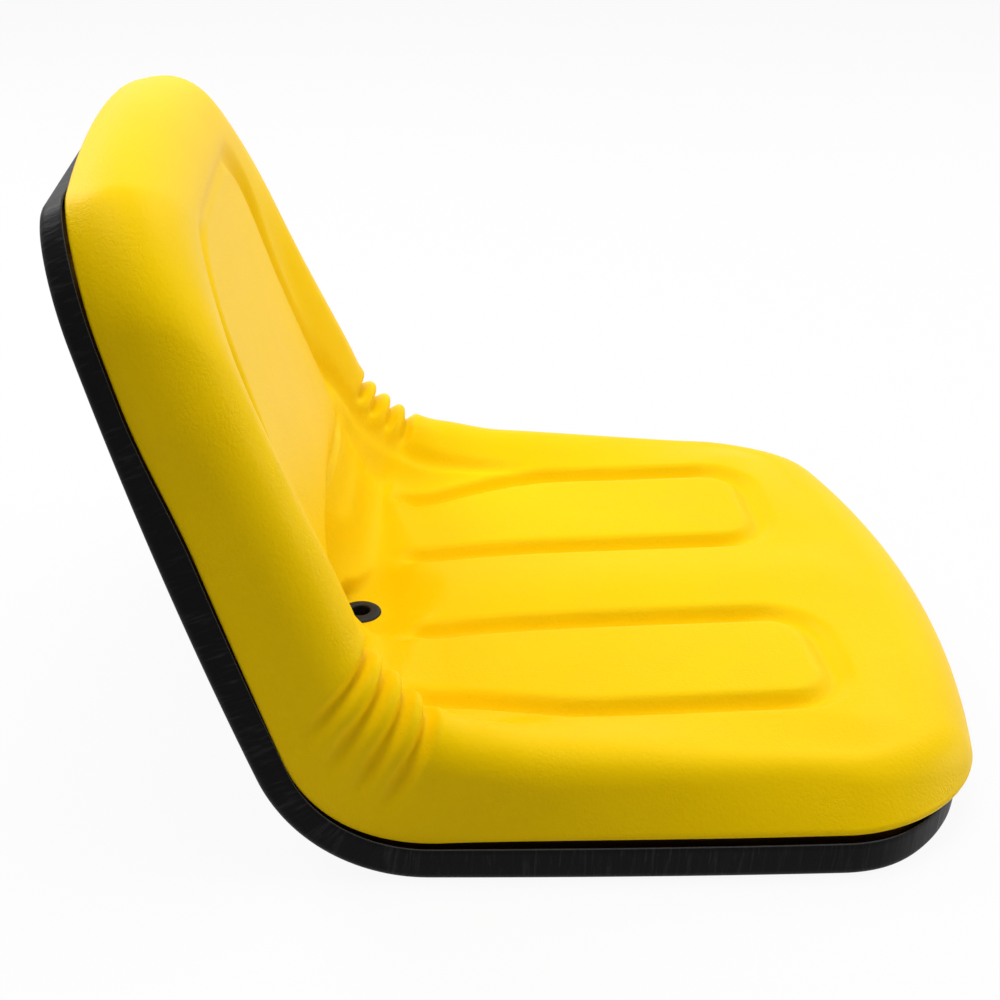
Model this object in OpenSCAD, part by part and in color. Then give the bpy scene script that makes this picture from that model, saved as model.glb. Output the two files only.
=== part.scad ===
/* Utility vehicle seat: a moulded cushion bonded into a pressed steel pan.
   Millimetres. X points to the front, Y across, Z up.
   The origin lies on the underside of the pan, at the centre of the four mounting holes. */

/* [Pan] */
// full width of the pan at its front
front_width = 495; // [470:1:520]
// full width of the pan where the back begins
bend_width = 443; // [420:1:470]
// full width of the pan at the top of the back
top_width = 375; // [350:1:410]
// length of the flat under the seat, at the corners
flat_length = 300; // [285:1:320]
// radius of the bend between seat and back, on the underside
bend_radius = 96; // [85:1:110]
// angle of the bend, in degrees
bend_angle = 69; // [66:0.5:72]
// length of the back above the bend
back_length = 302; // [285:1:320]
// radius of the long curve of the back
back_radius = 2500; // [1800:100:6000]
// corner radius of the outline at the front
front_corner = 73; // [60:1:95]
// corner radius of the outline at the top
top_corner = 94; // [80:1:110]
// how far the front edge bows out in the middle
front_bow = 38; // [20:1:44]
// how far the top edge bows out in the middle
top_bow = 14; // [0:1:20]
// height of the turned-up wall at the front
lip_front = 30; // [24:1:34]
// height of the turned-up wall at the top
lip_top = 19; // [16:1:22]
// sheet thickness
sheet = 1.6; // [1.2:0.1:2]
// outside radius between floor and wall
wall_fillet = 6; // [5:0.5:9]
// how far the wall leans out over its height
wall_draft = 1.5; // [1:0.5:4]

/* [Mounting] */
// hole spacing from front to back
hole_spacing_x = 203.2; // [180:0.1:220]
// hole spacing across the seat
hole_spacing_y = 285.8; // [250:0.1:320]
// distance from the front of the flat to the front holes
hole_setback = 61; // [50:1:66]
// diameter of the holes in the pan
pan_hole_d = 9; // [8.5:0.1:11]
// bore of the weld nuts, for an M8 thread
nut_bore_d = 6.8; // [6.6:0.1:8]
// width across the flats of the weld nuts
nut_flats = 13; // [12:0.5:15]
// height of the weld nuts
nut_h = 8; // [6.5:0.5:10]
// diameter of the round base of the weld nuts
nut_base_d = 20; // [18:0.5:22]
// thickness of the round base of the weld nuts
nut_base_h = 1.8; // [1.2:0.1:2.5]
// diameter of the pockets in the foam over the nuts
pocket_d = 25; // [23:1:30]
// height of the pockets in the foam over the pan floor
pocket_h = 22; // [16:1:26]

/* [Cushion roll] */
// gap between the cushion and the steel
foam_gap = 0.4; // [0.3:0.05:0.8]
// height of the roll along the front edge
roll_front = 49; // [44:1:58]
// rise of the side roll for each millimetre towards the bend
roll_rise = 0.155; // [0.12:0.005:0.17]
// height of the side roll at its front end
roll_start = 42.5; // [40:0.5:50]
// height that the side roll comes down from behind the bend
roll_back_from = 120.5; // [112:0.5:124]
// fall of the side roll for each millimetre up the back
roll_back_fall = 0.083; // [0.07:0.001:0.09]
// lowest height of the roll round the top
roll_top = 61; // [56:1:70]
// extra height of the side roll in the bend
roll_bend_extra = 11.5; // [4:0.5:14]
// distance from the edge to the crest of the roll
roll_crest = 32.5; // [28:0.5:38]
// distance from the edge to the inner foot of the roll, on the seat
roll_foot_seat = 88; // [80:1:94]
// distance from the edge to the inner foot of the roll, on the back
roll_foot_back = 78; // [70:1:84]
// share of the roll's height that is rounded on the outside
roll_round = 0.55; // [0.4:0.01:0.7]

/* [Seat panels] */
// height of the centre ridge and the inner edge of the thigh panels
seat_height = 56; // [52:1:60]
// rise of the thigh panels for each millimetre outwards
seat_dish = 0.085; // [0.05:0.005:0.12]
// front end of the thigh panels, from the front of the flat
thigh_front = 60; // [54:1:70]
// inner edge of the thigh panels, from the middle
thigh_inner = 60; // [56:1:64]
// outer edge of the thigh panels, from the middle
thigh_outer = 146; // [140:1:150]
// how far the outer edge comes in at the rear
thigh_taper = 26; // [16:1:32]
// corner radius of the thigh panels
thigh_corner = 22; // [16:1:28]
// width of the groove round each thigh panel
thigh_groove_w = 24; // [18:1:28]
// depth of the groove along the sides of each thigh panel
thigh_groove = 10; // [6:0.5:12]
// depth of the groove round the front of each thigh panel
thigh_groove_front = 6; // [3:0.5:8]

/* [Back panel] */
// height of the back panel
back_height = 62; // [58:1:66]
// lower edge of the back panel, from the front of the flat
back_panel_from = 440; // [432:1:450]
// upper edge of the back panel, from the front of the flat
back_panel_to = 672; // [660:1:680]
// half width of the back panel at its lower edge
back_panel_low = 136; // [130:1:140]
// half width of the back panel at the top
back_panel_high = 110; // [104:1:116]
// radius of its top corners
back_panel_corner = 56; // [40:1:64]
// width of the groove round the back panel
back_groove_w = 26; // [20:1:30]
// depth of the groove round the back panel
back_groove = 8; // [5:0.5:10]

/* [Bite line] */
// place of the valley between seat and back, from the front of the flat
bite_at = 352; // [346:1:358]
// height of the cushion in the middle of the valley
bite_height = 27; // [25:1:32]
// rise of the valley floor towards the side rolls
bite_rise = 36; // [30:1:40]
// distance from the middle over which most of that rise comes
bite_spread = 75; // [60:1:90]
// height at the foot of the back panel, in the middle
lobe_height = 46; // [42:1:50]

/* [Bellows] */
// centre of the lowest groove, from the front of the flat
rib_from = 346; // [342:1:350]
// distance between grooves
rib_pitch = 26; // [24:0.5:27]
// depth of the grooves
rib_depth = 4.6; // [3:0.1:6]
// distance from the edge where the grooves end on the inside
rib_end = 84; // [70:1:90]

/* [Drain] */
// outside diameter of the grommet flange
flange_d = 28; // [26:0.5:30]
// thickness of the grommet flange
flange_h = 2.6; // [2:0.1:3]
// outside diameter of the grommet sleeve
sleeve_d = 17; // [16.5:0.1:18]
// bore of the grommet
drain_d = 13; // [12:0.1:14]
// clearance round the sleeve in the foam and the steel
sleeve_clear = 0.4; // [0.3:0.05:0.8]
// distance of the drain behind the flat
drain_back = 36; // [34:1:38]
// height of the flange's lower face over the underside
drain_pad_z = 37; // [36:0.5:39]
// how far the flange sinks into the skin
flange_sink = 0.6; // [0.4:0.1:1]
// clearance under the flange
flange_clear = 0.3; // [0.2:0.05:0.5]
// height of the lower end of the sleeve
sleeve_foot = 2.5; // [1:0.5:3]

/* [Colours] */
// colour of the cushion skin
skin_colour = "#F2C811";
// colour of the painted steel
steel_colour = "#1A1A1C";
// colour of the rubber grommet
rubber_colour = "#242424";
// colour of the weld nuts
nut_colour = "#A9ADB0";

/* [Hidden] */
$fn = 64;

front_x = hole_setback + hole_spacing_x / 2;
bend_x = front_x - flat_length;
bend_end = flat_length + bend_radius * bend_angle * PI / 180;
run = bend_end + back_length;
half_run = run / 2;
half_front = front_width / 2;
fan_from = 140;
fan_to = 580;
wall_inset = sheet + foam_gap;
drain_x = bend_x - drain_back;

// a smooth step from 0 to 1
function ease(x) = let (c = min(max(x, 0), 1)) c * c * (3 - 2 * c);
// a smooth hill, 1 high and 1 wide on each side
function hill(x) = abs(x) < 1 ? pow(1 - x * x, 2) : 0;
// the smaller of two values, with a rounded change over
function soft_min(a, b, r) = (a + b - sqrt((a - b) * (a - b) + r * r)) / 2;
function hyp(a, b) = sqrt(a * a + b * b);

// lean of the underside at the run s, in degrees
function lean(s) = s < flat_length ? 0
    : s < bend_end ? (s - flat_length) / bend_radius * 180 / PI
    : bend_angle + (s - bend_end) / back_radius * 180 / PI;
function under_x(s) = s < flat_length ? front_x - s
    : s < bend_end ? bend_x - bend_radius * sin(lean(s))
    : bend_x - bend_radius * sin(bend_angle) - back_radius * (sin(lean(s)) - sin(bend_angle));
function under_z(s) = s < flat_length ? 0
    : s < bend_end ? bend_radius * (1 - cos(lean(s)))
    : bend_radius * (1 - cos(bend_angle)) + back_radius * (cos(bend_angle) - cos(lean(s)));

// direction of the cushion's height at the run s, which turns more slowly than the steel
function fan(s) = ease((s - fan_from) / (fan_to - fan_from))
    * (bend_angle + (s - bend_end) / back_radius * 180 / PI);
function on_steel(s, t, h) = [under_x(s) + h * sin(lean(s)), t, under_z(s) + h * cos(lean(s))];
function on_foam(s, t, h) = [under_x(s) + h * sin(fan(s)), t, under_z(s) + h * cos(fan(s))];

function half_width(s) = let (u = min(max(s / bend_end, 0), 1), v = max((s - bend_end) / back_length, 0))
    half_front - (half_front - bend_width / 2) * pow(u, 1.5) - (bend_width - top_width) / 2 * v;
function lip(s) = lip_front + (lip_top - lip_front) * s / run;

// plan of the seat: a square of a and b from -1 to 1 becomes a rectangle with round corners
function corner(a) = a < 0 ? front_corner : top_corner;
function plan(a, b, o) = let (
    p = a * (half_run - o), q = b * (half_front - o), r = corner(a) - o,
    u = max(abs(p) - (half_run - o - r), 0) / r, v = max(abs(q) - (half_front - o - r), 0) / r,
    pp = abs(p) - u * r * (1 - sqrt(1 - v * v / 2)), qq = abs(q) - v * r * (1 - sqrt(1 - u * u / 2)))
    [sign(p) * pp, sign(q) * qq];
function edge(a, b, o) = let (
    k = plan(a, b, o), r = corner(a) - o,
    es = half_front - o - abs(k[1]), ee = half_run - o - abs(k[0]))
    [es, ee, es < r && ee < r ? r - hyp(r - es, r - ee) : min(es, ee)];
function run_at(k) = let (c = 1 - pow(k[1] / half_front, 2))
    half_run + k[0] - front_bow * c * ease(-k[0] / half_run) + top_bow * c * ease(k[0] / half_run);
// run and distance from the middle of the point a, b, set in from the outline by o
function spot(a, b, o) = let (k = plan(a, b, o), s = run_at(k)) [s, k[1] * half_width(s) / half_front];

// height of the side roll
function roll_side(s) = max(
    soft_min(roll_start + roll_rise * s, roll_back_from - roll_back_fall * s, 8), 0)
    + roll_bend_extra * hill((s - 362) / 90);
function roll_height(s, es, ee) = let (k = es / (es + ee + 1))
    (1 - k) * max(roll_side(s), s > bend_end ? roll_top : 0) + k * (s < half_run ? roll_front : roll_top);
function roll_foot(s, es, ee) = let (k = es / (es + ee + 1))
    (1 - k) * (roll_foot_seat + (roll_foot_back - roll_foot_seat) * ease((s - 430) / 90)
        + 10 * hill((s - 360) / 110)) + k * (s < half_run ? 62 : 56);

// distance outside the thigh panel, less than 0 on it
function thigh_distance(s, t) = let (
    outer = thigh_outer - thigh_taper * ease((s - 190) / 150),
    mid = (outer + thigh_inner) / 2, r = thigh_corner,
    u = abs(t - mid) - (outer - thigh_inner) / 2 + r, v = thigh_front + r - s)
    hyp(max(u, 0), max(v, 0)) + min(max(u, v), 0) - r;
// distance outside the back panel, less than 0 on it
function back_distance(s, t) = let (
    w = back_panel_low + (back_panel_high - back_panel_low) * ease((s - back_panel_from) / 190),
    r = back_panel_corner, u = t - w + r, v = s - back_panel_to + r)
    hyp(max(u, 0), max(v, 0)) + min(max(u, v), 0) - r;

function seat_level(s, t) = let (
    d = thigh_distance(s, t),
    side = ease((s - thigh_front + 6) / 40),
    deep = thigh_groove_front + (thigh_groove - thigh_groove_front) * side)
    seat_height + seat_dish * max(t - thigh_inner, 0) + 2 * hill(t / 44)
    - deep * hill((d - thigh_groove_w * 0.4) / (thigh_groove_w / 2)) * ease((350 - s) / 40);
function bite_floor(t) = bite_height + bite_rise * (1 - exp(-t / bite_spread));
function lobe_level(t) = lobe_height + (back_height - lobe_height) * ease(t / 112);
function back_level(s, t) = let (d = back_distance(s, t))
    back_height - back_groove * hill((d - back_groove_w * 0.4) / (back_groove_w / 2))
        * ease((s - back_panel_from) / 50);
// height of the cushion inside the roll
function inner_level(s, t) = let (
    turn = 312 + 12 * hill(t / 34) + 24 * ease((t - 50) / 80),
    fall = ease((s - turn) / (bite_at - turn)),
    climb = ease((s - bite_at) / (100 - 58 * ease(t / 62))),
    up = ease((s - back_panel_from + 2) / 26),
    low = bite_floor(t),
    lobe = low + (lobe_level(t) - low) * climb)
    s < bite_at ? seat_level(s, t) + (low - seat_level(s, t)) * fall
    : lobe + (back_level(s, t) - lobe) * up - 2.5 * hill((s - back_panel_from) / 10) * ease((150 - t) / 30);

// depth of the bellows grooves at the run s, at the distance e from the edge
function bellows(s, e) = let (n = (s - rib_from) / rib_pitch)
    n < -0.5 || n > 3.5 ? 0
    : rib_depth * pow((1 + cos(360 * n)) / 2, 1.4) * ease((rib_end - e) / 34);

// level pad round the drain
function drain_share(s, t, h) = 1 - ease((hyp(on_foam(s, t, h)[0] - drain_x, t) - flange_d / 2 - 1) / 12);

function top_height(s, t, e) = let (
    c = roll_height(s, e[0], e[1]), d = e[2],
    foot = c - (c - lip(s)) * roll_round,
    base = inner_level(s, t))
    d < roll_crest ? foot + (c - foot) * sqrt(max(1 - pow(1 - d / roll_crest, 2), 0))
    : base + (c - base) * (1 - ease((d - roll_crest) / (roll_foot(s, e[0], e[1]) - roll_crest)));
// a point of the cushion's upper surface
function top_point(a, b) = let (
    k = spot(a, b, wall_inset), s = k[0], t = abs(k[1]), e = edge(a, b, wall_inset),
    h = top_height(s, t, e), g = bellows(s, e[2]),
    out = min(max(1 - e[2] / roll_crest, 0), 1),
    pad = (drain_pad_z + flange_sink - under_z(s)) / cos(fan(s)), w = t < 60 ? drain_share(s, t, pad) : 0)
    on_foam(s, k[1] - sign(k[1]) * g * out, (h - g * sqrt(1 - out * out)) * (1 - w) + pad * w);

// points between 0 and 1, closer together where the zones say so; each zone is [from, to, parts]
function zone(z, whole) = [for (i = [0 : z[2] - 1]) (z[0] + (z[1] - z[0]) * i / z[2]) / whole];
function join(l) = [for (z = l) for (v = z) v];
function round_in(d, n, whole) = [for (i = [0 : n - 1]) d * (1 - cos(90 * i / n)) / whole];
function round_out(d, n, whole) = [for (i = [1 : n]) 1 - d * (1 - cos(90 * (n - i) / n)) / whole];

along = let (l = join([round_in(roll_crest, 5, run),
    zone([roll_crest, 64, 5], run), zone([64, 300, 7], run), zone([300, 336, 5], run),
    zone([336, 430, 22], run), zone([430, 454, 4], run), zone([454, 630, 7], run),
    zone([630, run - roll_crest, 11], run), [1 - roll_crest / run], round_out(roll_crest, 5, run)]))
    [for (v = l) 2 * v - 1];
half_across = join([zone([0, 36, 3], half_front), zone([36, 64, 6], half_front),
    zone([64, 104, 2], half_front), zone([104, 168, 9], half_front),
    zone([168, half_front - roll_crest, 4], half_front),
    [1 - roll_crest / half_front], round_out(roll_crest, 5, half_front)]);
function mirrored(h) = concat([for (i = [len(h) - 1 : -1 : 1]) -h[i]], h);
across = mirrored(half_across);

pan_along = let (l = join([zone([0, front_corner, 8], run), zone([front_corner, flat_length, 2], run),
    zone([flat_length, bend_end, 12], run), zone([bend_end, run - top_corner, 4], run),
    zone([run - top_corner, run, 9], run), [1]]))
    [for (v = l) 2 * v - 1];
pan_across = mirrored(join([zone([0, half_front - top_corner, 3], half_front),
    zone([half_front - top_corner, half_front, 10], half_front), [1]]));

// the border of a grid of na by nb points, as one loop
function border(na, nb) = concat([for (j = [0 : nb - 1]) [0, j]], [for (i = [1 : na - 1]) [i, nb - 1]],
    [for (j = [nb - 2 : -1 : 0]) [na - 1, j]], [for (i = [na - 2 : -1 : 1]) [i, 0]]);
function border_index(i, j, na, nb) = i == 0 ? j : j == nb - 1 ? nb - 1 + i
    : i == na - 1 ? 2 * (nb - 1) + na - 1 - j : 2 * (nb - 1) + 2 * (na - 1) - i;
// triangles between two loops of n points that start at the indexes f and g
function band(f, g, n) = [for (i = [0 : n - 1]) let (k = (i + 1) % n)
    each [[f + i, g + i, g + k], [f + i, g + k, f + k]]];
// triangles over a whole grid that starts at the index f
function sheet_faces(f, na, nb) = [for (i = [0 : na - 2], j = [0 : nb - 2]) let (
    p = f + i * nb + j, q = p + 1, r = p + nb + 1, s = p + nb)
    each ((i < (na - 1) / 2) == (j < (nb - 1) / 2) ? [[p, q, r], [p, r, s]] : [[p, q, s], [q, r, s]])];
// a cap with few points inside: its border is the loop at f, its inner points start at g
function cap_index(i, m, cols, f, g, na, nb) = let (j = cols[m], n = len(cols))
    i == 0 || i == na - 1 || m == 0 || m == n - 1 ? f + border_index(i, j, na, nb)
    : g + (i - 1) * (n - 2) + m - 1;
function cap_faces(cols, f, g, na, nb) = let (n = len(cols)) concat(
    [for (i = [1 : na - 3], m = [0 : n - 2]) let (
        p = cap_index(i, m, cols, f, g, na, nb), q = cap_index(i, m + 1, cols, f, g, na, nb),
        r = cap_index(i + 1, m + 1, cols, f, g, na, nb), s = cap_index(i + 1, m, cols, f, g, na, nb))
        each [[p, r, q], [p, s, r]]],
    [for (e = [0, 1], m = [0 : n - 2]) let (
        i = e == 0 ? 0 : na - 1, k = e == 0 ? 1 : na - 2,
        c = cap_index(k, m, cols, f, g, na, nb), d = cap_index(k, m + 1, cols, f, g, na, nb),
        mid = cols[m + 1] * 2 > nb ? cols[m] : cols[m + 1],
        fans = [for (j = [cols[m] : cols[m + 1] - 1])
            [f + border_index(i, j, na, nb), f + border_index(i, j + 1, na, nb), j < mid ? c : d]],
        tie = [f + border_index(i, mid, na, nb), c, d])
        each (e == 0 ? concat([for (t = fans) [t[0], t[2], t[1]]], [[tie[0], tie[1], tie[2]]])
            : concat(fans, [[tie[0], tie[2], tie[1]]]))]);
function turned(faces) = [for (t = faces) [t[0], t[2], t[1]]];

module cushion_body() {
    na = len(along);
    nb = len(across);
    loop = border(na, nb);
    n = len(loop);
    cols = [0, round((nb - 1) / 4), (nb - 1) / 2, nb - 1 - round((nb - 1) / 4), nb - 1];
    top = [for (a = along, b = across) top_point(a, b)];
    wall = [for (k = loop) let (a = along[k[0]], b = across[k[1]], c = spot(a, b, wall_inset),
        e = edge(a, b, wall_inset), foot = top_height(c[0], abs(c[1]), e), g = bellows(c[0], 0),
        h = lip(c[0]) + (foot - lip(c[0])) * 0.45)
        on_foam(c[0], c[1] - sign(c[1]) * g * 0.75, h)];
    rim = [for (k = loop) let (c = spot(along[k[0]], across[k[1]], wall_inset + 0.6))
        on_steel(c[0], c[1], lip(c[0]) - 2)];
    under = [for (k = loop) let (c = spot(along[k[0]], across[k[1]], wall_inset + wall_draft + 5))
        on_steel(c[0], c[1], sheet + foam_gap)];
    inner = [for (i = [1 : na - 2], m = [1 : len(cols) - 2])
        let (c = spot(along[i], across[cols[m]], wall_inset + wall_draft + 5))
        on_steel(c[0], c[1], sheet + foam_gap)];
    f = na * nb;
    polyhedron(points = concat(top, wall, rim, under, inner), faces = turned(concat(
        sheet_faces(0, na, nb),
        [for (i = [0 : n - 1]) let (k = (i + 1) % n, p = loop[i][0] * nb + loop[i][1],
            q = loop[k][0] * nb + loop[k][1]) each [[p, f + i, f + k], [p, f + k, q]]],
        band(f, f + n, n), band(f + n, f + 2 * n, n),
        cap_faces(cols, f + 2 * n, f + 3 * n, na, nb))), convexity = 8);
}

// where the four mounting holes are
module at_holes() {
    for (i = [-1, 1], j = [-1, 1]) translate([i * hole_spacing_x / 2, j * hole_spacing_y / 2, 0]) children();
}

module cushion() {
    color(skin_colour) difference() {
        cushion_body();
        at_holes() cylinder(d = pocket_d, h = sheet + pocket_h);
        translate([drain_x, 0, 0]) cylinder(d = sleeve_d + 2 * sleeve_clear, h = drain_pad_z + 20);
        translate([drain_x, 0, drain_pad_z - flange_clear]) cylinder(d = flange_d + 2 * sleeve_clear, h = 20);
    }
}

module pan_shell() {
    na = len(pan_along);
    nb = len(pan_across);
    loop = border(na, nb);
    n = len(loop);
    cols = [0, round((nb - 1) / 3), nb - 1 - round((nb - 1) / 3), nb - 1];
    r = wall_fillet;
    q = r - sheet;
    c = wall_draft + r;
    // rings from the floor outside, over the lip, to the floor inside: [inset, height, share of the lip]
    rings = [[c, 0, 0], [c - r * 0.5, r * 0.134, 0], [c - r * 0.866, r * 0.5, 0], [c - r, r, 0],
        [0, -0.7, 1], [0.35, 0, 1], [sheet - 0.35, 0, 1], [sheet, -0.7, 1],
        [c - q, r, 0], [c - q * 0.866, sheet + q * 0.5, 0], [c - q * 0.5, sheet + q * 0.134, 0], [c, sheet, 0]];
    pts = [for (g = rings, k = loop) let (p = spot(pan_along[k[0]], pan_across[k[1]], g[0]))
        on_steel(p[0], p[1], g[1] + g[2] * lip(p[0]))];
    low = [for (i = [1 : na - 2], m = [1 : len(cols) - 2])
        let (p = spot(pan_along[i], pan_across[cols[m]], c)) on_steel(p[0], p[1], 0)];
    high = [for (i = [1 : na - 2], m = [1 : len(cols) - 2])
        let (p = spot(pan_along[i], pan_across[cols[m]], c)) on_steel(p[0], p[1], sheet)];
    last = (len(rings) - 1) * n;
    f = len(rings) * n;
    polyhedron(points = concat(pts, low, high), faces = turned(concat(
        cap_faces(cols, 0, f, na, nb),
        [for (g = [0 : len(rings) - 2]) each turned(band(g * n, (g + 1) * n, n))],
        turned(cap_faces(cols, last, f + len(low), na, nb)))), convexity = 8);
}

module seat_pan() {
    color(steel_colour) difference() {
        pan_shell();
        at_holes() translate([0, 0, -5]) cylinder(d = pan_hole_d, h = 20);
        translate([drain_x, 0, -5]) cylinder(d = sleeve_d + 2 * sleeve_clear, h = 40);
    }
}

// rubber eyelet: a domed flange on the pad and a sleeve down through the foam and the steel
module drain_grommet() {
    color(rubber_colour) translate([drain_x, 0, 0]) rotate_extrude() polygon([
        [drain_d / 2, sleeve_foot], [sleeve_d / 2 - 0.8, sleeve_foot], [sleeve_d / 2, sleeve_foot + 2],
        [sleeve_d / 2, drain_pad_z], [flange_d / 2 - 0.4, drain_pad_z], [flange_d / 2, drain_pad_z + 0.5],
        [flange_d / 2 - 0.5, drain_pad_z + 1.4], [flange_d / 2 - 2, drain_pad_z + 2.2],
        [flange_d / 2 - 4, drain_pad_z + flange_h], [drain_d / 2 + 1, drain_pad_z + flange_h - 0.2],
        [drain_d / 2, drain_pad_z + flange_h - 1]]);
}

// weld nuts on the pan floor over the four holes
module weld_nuts() {
    color(nut_colour) at_holes() translate([0, 0, sheet]) difference() {
        union() {
            cylinder(d = nut_base_d, h = nut_base_h);
            cylinder(d = nut_flats / cos(30), h = nut_h, $fn = 6);
        }
        translate([0, 0, -1]) cylinder(d = nut_bore_d, h = nut_h + 2);
    }
}

seat_pan();
cushion();
drain_grommet();
weld_nuts();
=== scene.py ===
"""A utility vehicle seat, in the order in which it is put together: the pressed steel pan, the
weld nuts in it, the cushion that is moulded into it, and the drain eyelet. The formulas are in
millimetres, and every mesh is in metres, in the frame of the CAD model."""

import bmesh
import bpy
import numpy as np
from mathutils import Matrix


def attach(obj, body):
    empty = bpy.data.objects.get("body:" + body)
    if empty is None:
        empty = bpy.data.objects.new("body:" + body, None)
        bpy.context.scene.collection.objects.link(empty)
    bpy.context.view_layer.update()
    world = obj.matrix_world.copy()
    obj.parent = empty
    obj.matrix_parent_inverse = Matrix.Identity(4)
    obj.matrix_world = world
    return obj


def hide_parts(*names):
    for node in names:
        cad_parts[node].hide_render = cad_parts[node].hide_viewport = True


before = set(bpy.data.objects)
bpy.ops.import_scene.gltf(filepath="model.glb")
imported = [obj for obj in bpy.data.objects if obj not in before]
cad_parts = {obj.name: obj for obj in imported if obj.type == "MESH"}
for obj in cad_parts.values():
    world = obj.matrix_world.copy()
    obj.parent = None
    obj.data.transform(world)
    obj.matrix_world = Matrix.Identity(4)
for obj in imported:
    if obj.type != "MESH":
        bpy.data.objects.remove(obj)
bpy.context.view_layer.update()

# The camera
# It looks at the seat from its right side, from above and a little from behind, as the
# photograph does.
view_point = (-0.1516, -0.9184, 0.5745)
view_turn = 4.44
view_dip = 26.39
view_lens = 57.28

camera = bpy.data.objects.new("camera", bpy.data.cameras.new("camera"))
bpy.context.scene.collection.objects.link(camera)
camera.location = view_point
camera.rotation_euler = np.radians((90 - view_dip, 0, -view_turn))
camera.data.sensor_width = 36
camera.data.lens = view_lens
bpy.context.scene.camera = camera

# The steel pan
# One blank of 1.6 mm sheet, pressed to a shallow tray that runs flat under the seat, round the
# bend and up the back. Its wall is turned up all round and keeps the marks of the press tool.
front_x = 162.6
flat_length = 300.0
bend_radius = 96.0
bend_angle = np.radians(69.0)
back_length = 310.0
back_radius = 2500.0
front_width, bend_width, top_width = 495.0, 443.0, 354.0
front_corner, top_corner = 73.0, 62.0
front_bow, top_bow = 44.0, 0.0
front_tuck = 9.0
lip_front, lip_bend, lip_back, lip_top = 24.0, 22.5, 18.5, 13.5
sheet = 1.6
wall_fillet = 6.0
wall_draft = 1.5
bend_end = flat_length + bend_radius * bend_angle
run = bend_end + back_length
half_run, half_front = run / 2, front_width / 2
hole_x, hole_y = 203.2 / 2, 285.8 / 2
drain_x = front_x - flat_length - 36.0


def ease(x):
    """Smooth step: 0 below 0, 1 above 1, and 3 x^2 - 2 x^3 in between."""
    x = np.clip(x, 0, 1)
    return x * x * (3 - 2 * x)


def lean(s):
    """Lean of the steel at the run s: none on the flat, even growth round the bend, and then
    the slow growth of the long arc of the back."""
    bent = np.clip(s - flat_length, 0, bend_end - flat_length) / bend_radius
    return bent + np.maximum(s - bend_end, 0) / back_radius


def under(s):
    """x and z of the pan's underside: the flat, then the arc of the bend, then the arc of the
    back, each arc measured by the sines and cosines of the lean at its two ends."""
    whole = lean(s)
    bent = np.minimum(whole, bend_angle)
    x = front_x - np.minimum(s, flat_length) - bend_radius * np.sin(bent)
    x = x - back_radius * (np.sin(whole) - np.sin(bent))
    z = bend_radius * (1 - np.cos(bent)) + back_radius * (np.cos(bent) - np.cos(whole))
    return x, z


def at_angle(s, t, h, angle):
    """The point at the height h over the underside, along a direction that leans by angle."""
    x, z = under(s)
    return np.stack([x + h * np.sin(angle), t + 0 * x, z + h * np.cos(angle)], axis=-1) / 1000


def half_width(s):
    """Half the pan's width: a slow taper with the power 1.5 to the bend, then an even one."""
    u = np.clip(s / bend_end, 0, 1)
    v = np.maximum((s - bend_end) / back_length, 0)
    return half_front - (front_width - bend_width) / 2 * u**1.5 - (bend_width - top_width) / 2 * v


def lip(s):
    """Height of the wall: it falls a little along the seat, more round the bend, and again
    below the top."""
    seat = lip_front + (lip_bend - lip_front) * np.minimum(s / flat_length, 1)
    back = (lip_back - lip_bend) * ease((s - flat_length) / 120)
    return seat + back + (lip_top - lip_back) * ease((s - 540) / 90)


def plan(a, b, inset):
    """The square from -1 to 1 becomes a rectangle with round corners, set in by inset: near a
    corner each side gives way by 1 - sqrt(1 - v^2 / 2) of the radius."""
    long_side, short_side = half_run - inset, half_front - inset
    radius = np.where(a < 0, front_corner, top_corner) - inset
    p, q = np.abs(a) * long_side, np.abs(b) * short_side
    u = np.maximum(p - (long_side - radius), 0) / radius
    v = np.maximum(q - (short_side - radius), 0) / radius
    p = p - u * radius * (1 - np.sqrt(1 - v * v / 2))
    q = q - v * radius * (1 - np.sqrt(1 - u * u / 2))
    return np.sign(a) * p, np.sign(b) * q


def run_at(p, q):
    """The run at a point of the plan: both ends bow out in the middle, by the square of the
    distance from it."""
    bow = 1 - (q / half_front) ** 2
    return half_run + p - front_bow * bow * ease(-p / half_run) + top_bow * bow * ease(p / half_run)


def spot(a, b, inset, tuck=0):
    """The run, and the distance from the middle, of a point of the square that is set in. The
    pan's front lies a tuck behind the cushion's."""
    p, q = plan(a, b, inset)
    s = run_at(p, q) + tuck * ease((60 - half_run - p) / 60)
    return s, q * half_width(s) / half_front


def round_trip(rows, columns):
    """Row and column of each point on the border of a grid, once round."""
    i, j = np.arange(rows), np.arange(columns)
    row = np.concatenate([0 * j, i[1:], 0 * j[:-1] + rows - 1, i[-2:0:-1]])
    column = np.concatenate([j, 0 * i[1:] + columns - 1, j[-2::-1], 0 * i[-2:0:-1]])
    return row, column


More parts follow.
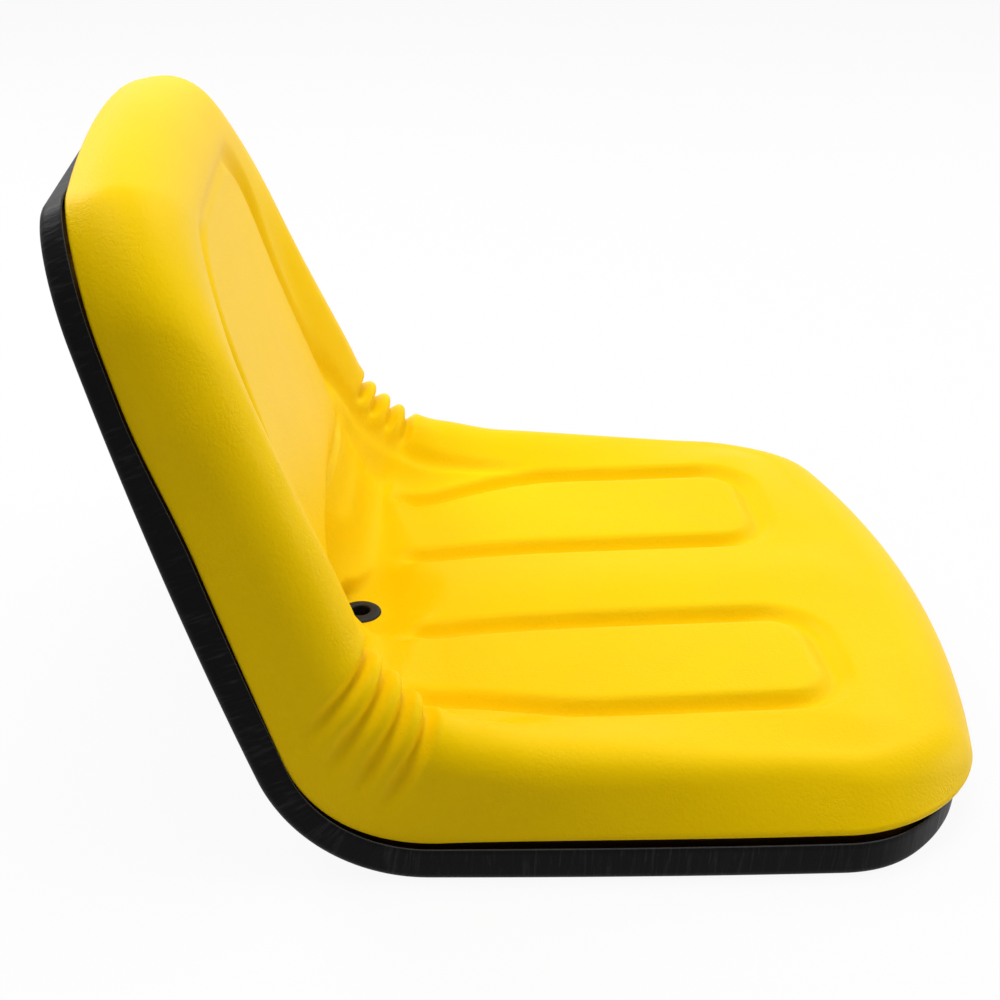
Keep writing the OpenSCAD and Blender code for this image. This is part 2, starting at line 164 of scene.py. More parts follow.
def fill_between(loop, rows, columns, first, inner):
    """Faces of a plain floor inside a border loop whose first point is number first: each row
    has `inner` points of its own, numbered from the end of the loops, between its two border
    points, and the full rows at both ends are joined to their neighbours by fans."""
    index = np.zeros((rows, columns), int)
    index[loop] = first + np.arange(len(loop[0]))
    own = inner[0] + np.arange((rows - 2) * inner[1]).reshape(rows - 2, inner[1])
    table = np.hstack([index[1:-1, :1], own, index[1:-1, -1:]])
    quads = np.stack([table[:-1, :-1], table[:-1, 1:], table[1:, 1:], table[1:, :-1]], -1)
    faces = quads.reshape(-1, 4).tolist()
    steps = np.linspace(0, columns - 1, inner[1] + 2).round().astype(int)
    for border, row in ((index[0], table[0]), (index[-1], table[-1])):
        for k, (low, high) in enumerate(zip(steps[:-1], steps[1:])):
            faces.append(list(border[low : high + 1]) + [row[k + 1], row[k]])
    return faces


def closed_piece(name, points, faces, uvs=None):
    """A mesh from points in metres and lists of corners, with its faces turned outwards."""
    mesh = bpy.data.meshes.new(name)
    mesh.from_pydata(points.tolist(), [], faces)
    if uvs is not None:
        mesh.uv_layers.new(name="along").data.foreach_set("uv", uvs.ravel())
    shell = bmesh.new()
    shell.from_mesh(mesh)
    bmesh.ops.recalc_face_normals(shell, faces=shell.faces)
    shell.to_mesh(mesh)
    shell.free()
    mesh.polygons.foreach_set("use_smooth", [True] * len(mesh.polygons))
    piece = bpy.data.objects.new(name, mesh)
    bpy.context.scene.collection.objects.link(piece)
    return piece


def drill(piece, holes, crease):
    """Cuts upright round holes, each given by x, y, lower end, upper end and diameter, and
    keeps edges sharp where faces meet at more than crease degrees."""
    tool = bmesh.new()
    for x, y, low, high, wide in holes:
        made = bmesh.ops.create_cone(
            tool, cap_ends=True, segments=48, radius1=wide / 2, radius2=wide / 2, depth=high - low
        )
        bmesh.ops.translate(tool, vec=(x, y, (low + high) / 2), verts=made["verts"])
    bmesh.ops.scale(tool, vec=(0.001, 0.001, 0.001), verts=tool.verts)
    mesh = bpy.data.meshes.new("drill")
    tool.to_mesh(mesh)
    tool.free()
    bit = bpy.data.objects.new("drill", mesh)
    bpy.context.scene.collection.objects.link(bit)
    cut = piece.modifiers.new("cut", "BOOLEAN")
    cut.operation, cut.solver, cut.object = "DIFFERENCE", "EXACT", bit
    shape = piece.evaluated_get(bpy.context.evaluated_depsgraph_get())
    done = bpy.data.meshes.new_from_object(shape)
    piece.modifiers.clear()
    piece.data = done
    bpy.data.objects.remove(bit)
    done.set_sharp_from_angle(angle=np.radians(crease))


class Wire:
    """An output in a material. Arithmetic on wires adds Math nodes, and node() adds any other."""

    def __init__(self, tree, socket):
        self.tree, self.socket = tree, socket

    def node(self, kind, settings, inputs, out=0):
        """Adds a node: its settings come first, such as an operation or a ramp's stops, and
        then the values or wires of its sockets."""
        made = self.tree.nodes.new("ShaderNode" + kind)
        for name, value in settings.items():
            if name == "stops":
                ramp = made.color_ramp.elements
                for place, colour in value[1:-1]:
                    ramp.new(place).color = colour
                ramp[0].position, ramp[0].color = value[0]
                ramp[-1].position, ramp[-1].color = value[-1]
            else:
                setattr(made, name, value)
        for name, value in inputs.items():
            if isinstance(value, Wire):
                self.tree.links.new(value.socket, made.inputs[name])
            else:
                made.inputs[name].default_value = value
        return Wire(self.tree, made.outputs[out])

    def maths(self, operation, *terms):
        return self.node("Math", {"operation": operation}, dict(enumerate(terms)))

    def __add__(self, other):
        return self.maths("ADD", self, other)

    def __sub__(self, other):
        return self.maths("SUBTRACT", self, other)

    def __rsub__(self, other):
        return self.maths("SUBTRACT", other, self)

    def __mul__(self, other):
        return self.maths("MULTIPLY", self, other)

    __radd__, __rmul__ = __add__, __mul__

    def within(self, low, high):
        """0 below low, 1 above high, and a smooth step in between."""
        return self.node(
            "MapRange",
            {"interpolation_type": "SMOOTHSTEP"},
            {"Value": self, "From Min": low, "From Max": high},
        )

    def blend(self, colour, other):
        """The first colour where this wire is 0, and the other where it is 1."""
        sockets = {0: self, 6: colour, 7: other}
        return self.node("Mix", {"data_type": "RGBA"}, sockets, out=2)


def new_material(name):
    """A material with a Principled BSDF: its shader and its Object coordinates."""
    material = bpy.data.materials.new(name)
    material.use_nodes = True
    tree = material.node_tree
    place = Wire(tree, tree.nodes.new("ShaderNodeTexCoord").outputs["Object"])
    return material, tree.nodes["Principled BSDF"], place


def dress(piece, material):
    """Every face of the piece gets the one material."""
    piece.data.materials.clear()
    piece.data.materials.append(material)


pan_rows, pan_columns = 190, 120
pan_a, pan_b = np.linspace(-1, 1, pan_rows), np.linspace(-1, 1, pan_columns)
pan_loop = round_trip(pan_rows, pan_columns)
loop_a, loop_b = pan_a[pan_loop[0]], pan_b[pan_loop[1]]

arc = np.radians(np.linspace(0, 90, 7))
rounding = 0.45
brim = np.radians(np.linspace(0, 90, 4))
outer_foot = wall_draft + wall_fillet
inner_round = wall_fillet - sheet
# inset, height, and share of the lip in the height, for each ring from floor to lip to floor
profile = np.array(
    [(outer_foot - wall_fillet * np.sin(w), wall_fillet * (1 - np.cos(w)), 0) for w in arc]
    + [(wall_draft * (1 - k), wall_fillet * (1 - k) - rounding * k, k) for k in (0.4, 0.8)]
    + [(rounding * (1 - np.cos(w)), rounding * (np.sin(w) - 1), 1) for w in brim]
    + [(sheet - rounding * (1 - np.sin(w)), rounding * (np.cos(w) - 1), 1) for w in brim]
    + [(sheet + wall_draft * (1 - k), wall_fillet * (1 - k), k) for k in (0.6,)]
    + [(outer_foot - inner_round * np.cos(w), wall_fillet - inner_round * np.sin(w), 0) for w in arc]
)
rings = []
for inset, height, share in profile:
    s, t = spot(loop_a, loop_b, inset, front_tuck)
    rings.append(at_angle(s, t, height + share * lip(s), lean(s)))
floor_a, floor_b = np.meshgrid(pan_a[1:-1], np.linspace(-1, 1, 10)[1:-1], indexing="ij")
s, t = spot(floor_a, floor_b, outer_foot, front_tuck)
low_floor = at_angle(s, t, 0, lean(s)).reshape(-1, 3)
high_floor = at_angle(s, t, sheet, lean(s)).reshape(-1, 3)
around = len(loop_a)
total = len(rings) * around
step = np.arange(around)
turned = (step + 1) % around
bands = [
    np.stack([k * around + step, k * around + turned, (k + 1) * around + turned, (k + 1) * around + step], 1)
    for k in range(len(rings) - 1)
]
wall_faces = np.concatenate(bands)
low_faces = fill_between(pan_loop, pan_rows, pan_columns, 0, (total, 8))
high_faces = fill_between(
    pan_loop, pan_rows, pan_columns, total - around, (total + len(low_floor), 8)
)
pan_points = np.concatenate([np.concatenate(rings), low_floor, high_floor])
# the pattern runs round the wall in metres and up it in metres, from the outer foot, and on the
# floor it runs along the sheet, a metre further up
middle, brim_from, brim_to = rings[8], 9, 16
lengths = np.linalg.norm(np.roll(middle, -1, 0) - middle, axis=1)
far = np.concatenate([[0], np.cumsum(lengths)])
steps_up = [np.linalg.norm(n - m, axis=1).mean() for m, n in zip(rings, rings[1:])]
rise = np.concatenate([[0], np.cumsum(steps_up)])
edge_low, edge_high = float(rise[brim_from]), float(rise[brim_from] + rise[brim_to]) / 2
wall_uv = np.concatenate(
    [
        np.stack([np.stack([far[step + e], 0 * far[step] + rise[k + f]], 1) for e, f in ((0, 0), (1, 0), (1, 1), (0, 1))], 1)
        for k in range(len(rings) - 1)
    ]
).reshape(-1, 2)
floor_corners = [v for face in low_faces + high_faces for v in face]
floor_x, floor_y, floor_z = pan_points[floor_corners].T
floor_uv = np.stack([floor_x - floor_z, floor_y + 1], 1)
pan = closed_piece(
    "steel_pan",
    pan_points,
    wall_faces.tolist() + low_faces + high_faces,
    np.concatenate([wall_uv, floor_uv]),
)
pan_holes = [(i * hole_x, j * hole_y, -5, 5, 9.0) for i in (-1, 1) for j in (-1, 1)]
drill(pan, pan_holes + [(drain_x, 0, -5, 30, 17.8)], 40)

paint, shader, place = new_material("pan_paint")
along = Wire(paint.node_tree, paint.node_tree.nodes.new("ShaderNodeUVMap").outputs[0])
drawn = along.node("Mapping", {}, {"Vector": along, "Scale": (1.0, 0.09, 1.0)})
fine = along.node("TexNoise", {}, {"Vector": drawn, "Scale": 420.0, "Detail": 3.0, "Roughness": 0.6})
coarse = along.node("TexNoise", {}, {"Vector": drawn, "Scale": 130.0, "Detail": 2.0})
patches = place.node("TexNoise", {}, {"Vector": place, "Scale": 14.0, "Detail": 2.0})
speckle = place.node("TexNoise", {}, {"Vector": place, "Scale": 900.0, "Detail": 2.0})
marks = coarse.within(0.42, 0.72) * 0.7 + fine * 0.45
marks = marks * (patches.within(0.35, 0.65) * 0.8 + 0.2) + speckle * 0.12
tone = patches.blend((0.0015, 0.0015, 0.0016, 1), (0.0035, 0.0035, 0.0037, 1))
streaks = fine.within(0.5, 0.72) * (patches.within(0.3, 0.6) * 0.7 + 0.3)
tone = streaks.blend(tone, (0.02, 0.02, 0.0205, 1))
# Painted highlight: the rounded brim of the wall, between edge_low and edge_high up it, is painted a lighter
# grey where its edge catches the light.
rim = along.node("SeparateXYZ", {}, {"Vector": along}, out=1)
sheen_and_wear = rim.within(edge_low, edge_high) * (1 - rim.within(edge_high, 2 * edge_high - edge_low))
tone = (sheen_and_wear * 0.8).blend(tone, (0.09, 0.09, 0.09, 1))
paint.node_tree.links.new(tone.socket, shader.inputs["Base Color"])
gloss = 0.33 + fine * 0.2
paint.node_tree.links.new(gloss.socket, shader.inputs["Roughness"])
relief = place.node("Bump", {}, {"Strength": 0.7, "Distance": 0.0008, "Height": marks})
paint.node_tree.links.new(relief.socket, shader.inputs["Normal"])
shader.inputs["Specular IOR Level"].default_value = 0.06
dress(pan, paint)
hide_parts("seat_pan")
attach(pan, "root")

# The weld nuts
# Four zinc plated M8 nuts on round bases, welded to the pan's floor over its holes. The CAD
# node has their true shape, so it stays and only gets its finish.
zinc, shader, place = new_material("nut_zinc")
haze = place.node("TexNoise", {}, {"Vector": place, "Scale": 260.0, "Detail": 4.0})
shader.inputs["Metallic"].default_value = 1.0
tone = haze.blend((0.42, 0.43, 0.44, 1), (0.66, 0.67, 0.68, 1))
zinc.node_tree.links.new(tone.socket, shader.inputs["Base Color"])
zinc.node_tree.links.new((0.28 + haze * 0.2).socket, shader.inputs["Roughness"])
dress(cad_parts["weld_nuts"], zinc)

# The cushion
# Foam moulded in one piece with its skin of yellow vinyl, held in the pan. A thick roll runs
# all round, with bellows at the bend; inside it lie two thigh panels and the back panel.
foam_gap = 0.4
wall_inset = sheet + foam_gap
grid_rim, grid_roll = 32.5, 64.0
roll_front, roll_top = 57.0, 64.0
roll_start, roll_rise = 50.8, 0.107
roll_back_from, roll_back_fall = 123.5, 0.083
roll_bend_extra = 14.5
crest_start, crest_fall = 41.0, 0.05
crest_bend, crest_back, crest_front, crest_top = 26.0, 32.5, 34.0, 42.0
shoulder_radius, shoulder_extra, shoulder_top = 24.0, 12.0, 9.0
corner_growth = 0.8
top_overhang, overhang_fall = 13.0, 1.4
gap_seat, gap_back, edge_band, edge_step = 3.8, 0.9, 3.0, 4.5
groove_lean = 14.0
drain_pad_w, drain_pad_back = 42.0, 14.0
seat_height, seat_dish = 56.0, 0.035
thigh_front, thigh_inner, thigh_outer = 60.0, 60.0, 146.0
thigh_taper, thigh_corner = 26.0, 22.0
thigh_groove_w, thigh_groove, thigh_groove_front = 24.0, 10.0, 6.0
back_height = 62.0
back_panel_from, back_panel_to = 440.0, 672.0
back_panel_low, back_panel_high = 136.0, 110.0
back_panel_corner, back_groove_w, back_groove = 56.0, 26.0, 8.0
bite_at, bite_height, bite_rise, bite_spread = 352.0, 27.0, 40.0, 110.0
lobe_height = 46.0
rib_from, rib_pitch, rib_depth, rib_end = 346.0, 26.0, 8.0, 60.0
seam_depth, seam_w = 3.2, 9.0
seam_runs = (150, 190, 240, 280, 315, 350, 390, 430, 480, 540)
seam_insets = (80, 77, 69, 64, 60, 58, 62, 63, 67, 68)
flange_d, drain_pad_z, flange_sink = 28.0, 37.0, 0.6


def hill(x):
    """A smooth hill: (1 - x^2)^2 within 1 of its middle, and 0 beyond."""
    return np.clip(1 - x * x, 0, None) ** 2


def soft_min(a, b, r):
    """The smaller of two values, with a change over that is rounded by r."""
    return (a + b - np.sqrt((a - b) ** 2 + r * r)) / 2


def fan(s):
    """Direction of the cushion's height, which turns more slowly than the steel: the lean
    that the pan would have, eased in from the middle of the seat to half way up the back."""
    return ease((s - 140) / 440) * (bend_angle + (s - bend_end) / back_radius)


def box_distance(u, v, r):
    """How far outside a corner of radius r a point lies, less than 0 inside."""
    return np.hypot(np.maximum(u, 0), np.maximum(v, 0)) + np.minimum(np.maximum(u, v), 0) - r


def thigh_distance(s, t):
    """Distance from a thigh panel: a box with round front corners whose outer edge comes in
    towards the bend."""
    outer = thigh_outer - thigh_taper * ease((s - 190) / 150)
    u = np.abs(t - (outer + thigh_inner) / 2) - (outer - thigh_inner) / 2 + thigh_corner
    return box_distance(u, thigh_front + thigh_corner - s, thigh_corner)


def back_distance(s, t):
    """Distance from the back panel, which narrows upwards and has round top corners."""
    wide = back_panel_low + (back_panel_high - back_panel_low) * ease((s - back_panel_from) / 190)
    r = back_panel_corner
    return box_distance(t - wide + r, s - back_panel_to + r, r)


def seat_level(s, t):
    """The seat between its rolls: a slow rise outwards and a slight ridge in the middle, less
    a groove that follows the edge of each thigh panel."""
    deep = thigh_groove_front + (thigh_groove - thigh_groove_front) * ease((s - thigh_front + 6) / 40)
    groove = hill((thigh_distance(s, t) - thigh_groove_w * 0.4) / (thigh_groove_w / 2))
    level = seat_height + seat_dish * np.maximum(t - thigh_inner, 0) + 2 * hill(t / 44)
    return level - deep * groove * ease((350 - s) / 40)


def back_level(s, t):
    """The back between its rolls, less the groove round its panel."""
    groove = hill((back_distance(s, t) - back_groove_w * 0.4) / (back_groove_w / 2))
    return back_height - back_groove * groove * ease((s - back_panel_from) / 50)


def inner_level(s, t):
    """The surface inside the roll: the seat falls to the valley of the bite line, and the
    lobes climb from it to the foot of the back panel."""
    turn = 318 + 6 * hill(t / 34) + 22 * ease((t - 50) / 80)
    low = bite_height + bite_rise * (1 - np.exp(-t / bite_spread))
    seat = seat_level(s, t)
    seat = seat + (low - seat) * ease((s - turn) / (bite_at - turn))
    top = lobe_height + (back_height - lobe_height) * ease(t / 112)
    lobe = low + (top - low) * ease((s - bite_at) / (100 - 58 * ease(t / 62)))
    back = lobe + (back_level(s, t) - lobe) * ease((s - back_panel_from + 2) / 26)
    back = back - 2.5 * hill((s - back_panel_from) / 10) * ease((150 - t) / 30)
    return np.where(s < bite_at, seat, back)


def outline_distance(p, q, inset):
    """How far a point of the plan lies from the side, from the end and from the outline. The
    line at the distance d turns a corner with the radius R = r + growth d round a centre that
    lies R + d from both edges, so d solves (R + d - side)^2 + (R + d - end)^2 = R^2."""
    side, end = half_front - inset - np.abs(q), half_run - inset - np.abs(p)
    r = np.where(p < 0, front_corner, top_corner) - inset
    growth = np.where(p < 0, -1, corner_growth)
    m = 1 + growth
    square = 2 * m * m - growth * growth
    half = m * (2 * r - side - end) - growth * r
    rest = (r - side) ** 2 + (r - end) ** 2 - r * r
    turned = (np.sqrt(np.maximum(half * half - square * rest, 0)) - half) / square
    corner = (end < r + m * side) & (side < r + m * end)
    return side, end, np.where(corner, turned, np.minimum(side, end))


def roll_height(s, side, end):
    """Height of the roll: along the sides it rises to the bend and falls up the back, and at
    both ends it blends over to the front and the top by the share of the two distances."""
    along_side = soft_min(roll_start + roll_rise * s, roll_back_from - roll_back_fall * s, 8)
    along_side = along_side + roll_bend_extra * hill((s - 362) / np.where(s < 362, 130, 90))
    along_side = np.where(s > bend_end, np.maximum(along_side, roll_top), along_side)
    share = side / (side + end + 1)
    return (1 - share) * along_side + share * np.where(s < half_run, roll_front, roll_top)


def roll_foot(s, side, end):
    """Distance from the edge to the inner foot of the roll, blended as the height is."""
    share = side / (side + end + 1)
    along_side = 88 - 10 * ease((s - 430) / 90) + 10 * hill((s - 360) / 110)
    return (1 - share) * along_side + share * np.where(s < half_run, 62, 56)


def edge_height(s):
    """Height of the cushion's lowest edge: a small gap over the steel, narrower on the back."""
    return lip(s) + gap_seat + (gap_back - gap_seat) * ease((s - 290) / 90)


def bellows(s, inside, down=0):
    """Depth of the bellows' grooves: raised cosines, a pitch apart, that fade inwards. On the
    outer wall they lean forwards by the square of the way down, from 0 to 1, and fade out."""
    n = (s + groove_lean * ease((s - 340) / 50) * down**2 - rib_from) / rib_pitch
    wave = ((1 + np.cos(2 * np.pi * n)) / 2) ** 1.4
    fade = ease((rib_end - inside) / 16) * (1 - 0.4 * ease(down / 0.4)) * (1 - ease((down - 0.4) / 0.5))
    return np.where((n > -0.5) & (n < 3.5), rib_depth * wave * fade, 0)


def seam(s, inside):
    """Depth of the shallow groove that follows the inner side of the roll through the bend,
    from the thigh panel's groove up to the back panel's."""
    groove = hill((inside - np.interp(s, seam_runs, seam_insets)) / seam_w)
    return seam_depth * groove * ease((s - 200) / 60) * ease((530 - s) / 60)


def shoulder(s, side, end):
    """The outer half of the roll is an arc from the crest down to a straight wall that it
    touches. Returns the crest's height, its inset, the arc's radius and the angle at which it
    ends. With the rise h and the inset w of the crest over the wall's foot, the arc's centre
    lies hypot(h - r, w) away, and the tangent leaves by acos(r / that)."""
    share = side / (side + end + 1)
    crest = roll_height(s, side, end)
    turn = (crest_back - crest_bend) * ease((s - 290) / 110)
    inset = np.maximum(crest_start - crest_fall * s, crest_bend) + turn
    inset = (1 - share) * inset + share * np.where(s < half_run, crest_front, crest_top)
    rise = crest - edge_height(s) - edge_band
    wanted = shoulder_radius + shoulder_extra * (1 - ease(s / 100))
    wanted = wanted + (crest_back - shoulder_radius) * ease((s - 290) / 110)
    wanted = wanted + shoulder_top * ease((s - 560) / 100)
    r = np.minimum(wanted, (inset**2 + rise**2) / (2 * rise) - 0.2)
    tangent = np.arccos(np.minimum(r / np.hypot(r - rise, inset), 1))
    return crest, inset, r, np.pi / 2 - np.arctan2(r - rise, inset) - tangent


def overhang(p, q):
    """How far the cushion hangs out over the pan round the top, most in the middle."""
    middle = 1 - overhang_fall * (q / half_front) ** 2
    return top_overhang * middle * ease((p - half_run + grid_roll) / grid_roll)


def cushion_point(a, b):
    """The cushion's upper surface. The outer part of the grid goes round the shoulder's arc in
    even angles, and the rest goes over the crest to the panels. The bellows' grooves are cut
    along the surface's normal, and it is level round the drain."""
    p, q = plan(a, b, wall_inset)
    side, end, edge = outline_distance(p, q, wall_inset)
    crest, crest_in, r, low = shoulder(run_at(p, q), side, end)
    angle = low * (1 - np.arccos(np.clip(1 - edge / grid_rim, 0, 1)) * 2 / np.pi)
    beyond = crest_in + (grid_roll - crest_in) * (edge - grid_rim) / (grid_roll - grid_rim)
    inside = np.where(edge < grid_roll, beyond, edge)
    inside = np.where(edge < grid_rim, crest_in - r * np.sin(angle), inside)
    s, t = spot(a, b, wall_inset + inside - edge - overhang(p, q))
    base = inner_level(s, np.abs(t))
    slope = 1 - ease((inside - crest_in) / (roll_foot(s, side, end) - crest_in))
    h = np.where(edge < grid_rim, crest - r * (1 - np.cos(angle)), base + (crest - base) * slope)
    h = h - seam(s, inside)
    down = np.where(edge < grid_rim, (crest - h) / (crest - edge_height(s)), 0)
    g = bellows(s, inside, down)
    h = h - g * np.cos(angle)
    x, z = under(s)
    pad = (drain_pad_z + flange_sink - z) / np.cos(fan(s))
    ahead = x + pad * np.sin(fan(s)) - drain_x
    wide = drain_pad_back + (drain_pad_w - drain_pad_back) * ease((ahead + 15) / 30)
    level = 1 - ease((np.hypot(ahead, t) - flange_d / 2) / wide)
    h = h * (1 - level) + pad * level
    return at_angle(s, t - np.sign(t) * g * np.sin(angle), h, fan(s))


def edge_point(a, b, inset, height, tuck=0):
    """A point on the cushion's edge, at a height over its lowest line."""
    s, t = spot(a, b, wall_inset + inset - overhang(*plan(a, b, 0)), tuck)
    return at_angle(s, t, edge_height(s) + height, fan(s))


def wall_points(a, b, share):
    """A point of the wall from the shoulder's lower end, share 0, to the edge's upright band,
    share 1, with the bellows' grooves pressed into it sideways."""
    p, q = plan(a, b, wall_inset)
    side, end, edge = outline_distance(p, q, wall_inset)
    crest, crest_in, r, low = shoulder(run_at(p, q), side, end)
    s0, t0 = spot(a, b, wall_inset + crest_in - r * np.sin(low) - edge - overhang(p, q))
    s1, t1 = spot(a, b, wall_inset - overhang(*plan(a, b, 0)))
    h0, h1 = crest - r * (1 - np.cos(low)), edge_height(s1) + edge_band
    s, t, h = s0 + (s1 - s0) * share, t0 + (t1 - t0) * share, h0 + (h1 - h0) * share
    g = bellows(s, 0, (crest - h) / (crest - edge_height(s)))
    h = h - g * np.cos(low) * (1 - share)
    return at_angle(s, t - np.sign(t) * g * np.sin(low), h, fan(s))


def spread(zones, whole):
    """Numbers from -1 to 1 for a grid line: each zone is its end and its number of steps."""
    ends = np.cumsum([0] + [n for _, n in zones])
    marks = np.array([0] + [z for z, _ in zones]) / whole
    return 2 * np.interp(np.arange(ends[-1] + 1), ends, marks) - 1


def rounded_ends(line, whole, steps):
    """Replaces the outer steps of a grid line by ones that close up towards its ends."""
    near = 1 - np.cos(np.radians(np.linspace(0, 90, steps + 1)))
    near = 2 * grid_rim / whole * near
    inner = line[np.abs(line) < 1 - 2 * grid_rim / whole - 0.002]
    return np.concatenate([-1 + near, inner, 1 - near[::-1]])


rows_a = spread([(60, 24), (300, 80), (336, 18), (430, 84), (460, 18), (run, 96)], run)
rows_a = rounded_ends(rows_a, run, 16)
columns_b = rounded_ends(np.linspace(-1, 1, 200), front_width, 16)
grid_a, grid_b = np.meshgrid(rows_a, columns_b, indexing="ij")
top = cushion_point(grid_a, grid_b)
rows, columns = len(rows_a), len(columns_b)
cushion_loop = round_trip(rows, columns)
loop_a, loop_b = rows_a[cushion_loop[0]], columns_b[cushion_loop[1]]
rings = [top.reshape(-1, 3)]
rings += [wall_points(loop_a, loop_b, share) for share in np.linspace(0, 1, 13)[1:]]
for inset, height in ((0.1, 1.6), (0.5, 0.6), (1.2, 0.1), (2.4, 0)):
    rings.append(edge_point(loop_a, loop_b, inset, height))
shown = sum(map(len, rings))
reach = edge_step + overhang(*plan(loop_a, loop_b, 0))
rings.append(edge_point(loop_a, loop_b, reach, -0.2, front_tuck))
for inset, share, height in ((edge_step, 1, -3), (wall_draft + 5, 0, sheet + foam_gap)):
    s, t = spot(loop_a, loop_b, wall_inset + inset, front_tuck)
    rings.append(at_angle(s, t, height + share * lip(s), lean(s)))
floor_a, floor_b = np.meshgrid(rows_a[1:-1], np.linspace(-1, 1, 8)[1:-1], indexing="ij")
s, t = spot(floor_a, floor_b, wall_inset + wall_draft + 5, front_tuck)
rings.append(at_angle(s, t, sheet + foam_gap, lean(s)).reshape(-1, 3))
index = np.arange(rows * columns).reshape(rows, columns)
quads = np.stack([index[:-1, :-1], index[:-1, 1:], index[1:, 1:], index[1:, :-1]], -1)
faces = quads.reshape(-1, 4).tolist()
around = len(loop_a)
step = np.arange(around)
turned = (step + 1) % around
upper = index[cushion_loop]
for k in range(len(rings) - 2):
    lower = rows * columns + k * around + step
    faces += np.stack([upper, upper[turned], lower[turned], lower], 1).tolist()
    upper = lower
first = rows * columns + (len(rings) - 3) * around
faces += fill_between(cushion_loop, rows, columns, first, (first + around, 6))
# The rings after the shown ones, in the recess under the cushion's edge, make the mask for painted shade in
# the skin's colour.
recess_shade_mask = (np.arange(sum(map(len, rings))) >= shown).astype(float)
recess_shade_mask = recess_shade_mask[[v for face in faces for v in face]]
cushion = closed_piece(
    "moulded_cushion", np.concatenate(rings), faces, np.stack([recess_shade_mask, 0 * recess_shade_mask], 1)
)
pockets = [(i * hole_x, j * hole_y, -2, sheet + 22, 25.0) for i in (-1, 1) for j in (-1, 1)]
drill(cushion, pockets + [(drain_x, 0, -5, 57, 17.8)], 60)

vinyl, shader, place = new_material("cushion_skin")
drift = place.node("TexNoise", {}, {"Vector": place, "Scale": 18.0, "Detail": 3.0})
tone = drift.blend((0.93, 0.6, 0.0, 1), (0.97, 0.64, 0.002, 1))
# Painted shade: where the mask is 1, the recess under the cushion's edge is painted dark brown.
recess_shade = Wire(vinyl.node_tree, vinyl.node_tree.nodes.new("ShaderNodeUVMap").outputs[0])
tone = recess_shade.node("SeparateXYZ", {}, {"Vector": recess_shade}).blend(tone, (0.06, 0.028, 0.006, 1))
vinyl.node_tree.links.new(tone.socket, shader.inputs["Base Color"])
warp = place.node("TexNoise", {}, {"Vector": place, "Scale": 120.0, "Detail": 2.0}, out=1)
bent = place.node("VectorMath", {"operation": "SCALE"}, {0: warp, "Scale": 0.004})
bent = place.node("VectorMath", {"operation": "ADD"}, {0: place, 1: bent})
pores = bent.node("TexVoronoi", {"feature": "SMOOTH_F1"}, {"Vector": bent, "Scale": 620.0})
creases = bent.node("TexVoronoi", {"feature": "DISTANCE_TO_EDGE"}, {"Vector": bent, "Scale": 340.0})
folds = bent.node("TexNoise", {}, {"Vector": bent, "Scale": 420.0, "Detail": 3.0})
sheen_and_wear = place.node("TexNoise", {}, {"Vector": place, "Scale": 30.0, "Detail": 1.0})
grain = pores * 0.5 + folds * 0.6 + creases.within(0.0, 0.12) * (sheen_and_wear.within(0.4, 0.65) * 0.35)
vinyl.node_tree.links.new((0.36 + folds * 0.12).socket, shader.inputs["Roughness"])
relief = place.node("Bump", {}, {"Strength": 0.5, "Distance": 0.0005, "Height": grain})
vinyl.node_tree.links.new(relief.socket, shader.inputs["Normal"])
shader.inputs["Specular IOR Level"].default_value = 0.1
shader.inputs["Specular Tint"].default_value = (1, 0.8, 0.2, 1)
dress(cushion, vinyl)
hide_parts("cushion")
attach(cushion, "root")

# The drain eyelet
# A moulded rubber eyelet with a domed flange, pushed through the cushion and the pan at the
# lowest point of the seat, so that rain runs out.
eyelet_bore, sleeve_d, flange_h, sleeve_foot = 13.0, 17.0, 2.6, 2.5
bend = np.radians(np.linspace(0, 90, 9))
eyelet_line = np.array(
    [(eyelet_bore / 2, sleeve_foot), (sleeve_d / 2 - 0.8, sleeve_foot), (sleeve_d / 2, sleeve_foot + 2)]
    + [(sleeve_d / 2, drain_pad_z), (flange_d / 2 - 0.4, drain_pad_z)]
    + [(flange_d / 2 - 4 + 4 * np.cos(w), drain_pad_z + 0.5 + (flange_h - 0.5) * np.sin(w)) for w in bend]
    + [(eyelet_bore / 2 + 1.2 - 1.2 * np.sin(w), drain_pad_z + flange_h - 1.2 + 1.2 * np.cos(w)) for w in bend]
)
turn = np.radians(np.arange(0, 360, 5))
radius, height = eyelet_line.T
eyelet_points = np.stack(
    [
        drain_x + np.outer(np.cos(turn), radius),
        np.outer(np.sin(turn), radius),
        np.outer(np.ones(len(turn)), height),
    ],
    -1,
)
index = np.arange(len(turn) * len(radius)).reshape(len(turn), len(radius))
ahead = np.roll(index, -1, 0)
quads = np.stack([index, ahead, np.roll(ahead, -1, 1), np.roll(index, -1, 1)], -1).reshape(-1, 4)
eyelet = closed_piece("drain_eyelet", eyelet_points.reshape(-1, 3) / 1000, quads.tolist())
eyelet.data.set_sharp_from_angle(angle=np.radians(35))

rubber, shader, place = new_material("eyelet_rubber")
dust = place.node("TexNoise", {}, {"Vector": place, "Scale": 700.0, "Detail": 4.0})
tone = dust.blend((0.004, 0.004, 0.004, 1), (0.014, 0.014, 0.0135, 1))
rubber.node_tree.links.new(tone.socket, shader.inputs["Base Color"])
rubber.node_tree.links.new((0.38 + dust * 0.25).socket, shader.inputs["Roughness"])
relief = place.node("Bump", {}, {"Strength": 0.3, "Distance": 0.0002, "Height": dust})
rubber.node_tree.links.new(relief.socket, shader.inputs["Normal"])
shader.inputs["Specular IOR Level"].default_value = 0.2
dress(eyelet, rubber)
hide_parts("drain_grommet")
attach(eyelet, "root")

# The studio
# A white floor in a white room, one large soft lamp overhead, two behind the seat and one on
# each side of its front, as for a catalogue picture.
floor_size = 12.0


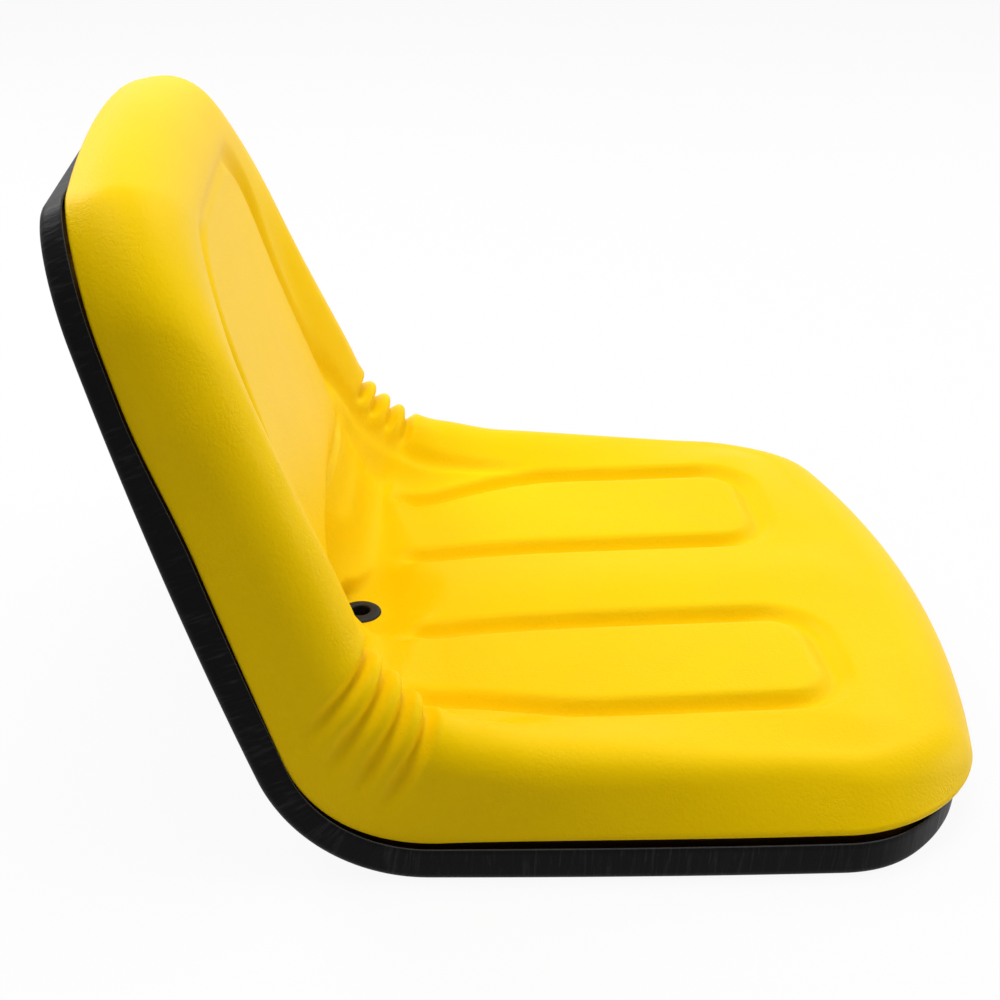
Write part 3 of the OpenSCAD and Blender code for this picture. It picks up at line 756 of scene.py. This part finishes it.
def background_rays(tree):
    """1 for the rays that show the white background: the camera's own, those that come by way
    of a mirror and those that have gone through glass."""
    rays = tree.nodes.new("ShaderNodeLightPath")
    seen = Wire(tree, rays.outputs["Is Camera Ray"])
    for kind in ("Is Glossy Ray", "Is Transmission Ray"):
        seen = seen.maths("MAXIMUM", seen, Wire(tree, rays.outputs[kind]))
    return seen


floor_mesh = bpy.data.meshes.new("floor")
corners = [(-1, -1), (1, -1), (1, 1), (-1, 1)]
floor_mesh.from_pydata([(x * floor_size, y * floor_size, -0.0006) for x, y in corners], [], [(0, 1, 2, 3)])
floor = bpy.data.objects.new("floor", floor_mesh)
bpy.context.scene.collection.objects.link(floor)
white = bpy.data.materials.new("white_floor")
white.use_nodes = True
tree = white.node_tree
plain = tree.nodes["Principled BSDF"]
plain.inputs["Base Color"].default_value = (0.8, 0.8, 0.8, 1)
plain.inputs["Roughness"].default_value = 0.9
glow = tree.nodes.new("ShaderNodeEmission")
shown = tree.nodes.new("ShaderNodeMixShader")
tree.links.new((background_rays(tree) * 0.93).socket, shown.inputs[0])
tree.links.new(plain.outputs[0], shown.inputs[1])
tree.links.new(glow.outputs[0], shown.inputs[2])
tree.links.new(shown.outputs[0], tree.nodes["Material Output"].inputs["Surface"])
dress(floor, white)

world = bpy.data.worlds.new("studio")
bpy.context.scene.world = world
world.use_nodes = True
tree = world.node_tree
sky = tree.nodes["Background"]
sky.inputs["Color"].default_value = (1, 1, 1, 1)
room = 0.06
tree.links.new((room + background_rays(tree) * (1 - room)).socket, sky.inputs["Strength"])

lamp_size, lamp_distance = 1.3, 2.4
lamp_aim = np.array([-0.05, 0.0, 0.15])
# azimuth from the seat's front towards its left side, height over the floor, and power
lamps = {
    "overhead": (0, 90, 33.0),
    "behind_right": (135, 40, 27.0),
    "front": (0, 12, 20.0),
    "behind_left": (45, 40, 12.0),
    "near": (225, 65, 8.0),
}
for name, (azimuth, height, power) in lamps.items():
    lamp = bpy.data.objects.new(name, bpy.data.lights.new(name, "AREA"))
    bpy.context.scene.collection.objects.link(lamp)
    lamp.data.shape, lamp.data.size, lamp.data.energy = "DISK", lamp_size, power
    round_by, up_by = np.radians((azimuth, height))
    level = np.cos(up_by)
    way = np.array([np.cos(round_by) * level, np.sin(round_by) * level, np.sin(up_by)])
    lamp.location = lamp_aim + lamp_distance * way
    lamp.rotation_euler = (np.pi / 2 - up_by, 0, round_by + np.pi / 2)

view = bpy.context.scene.view_settings
view.view_transform = "Standard"
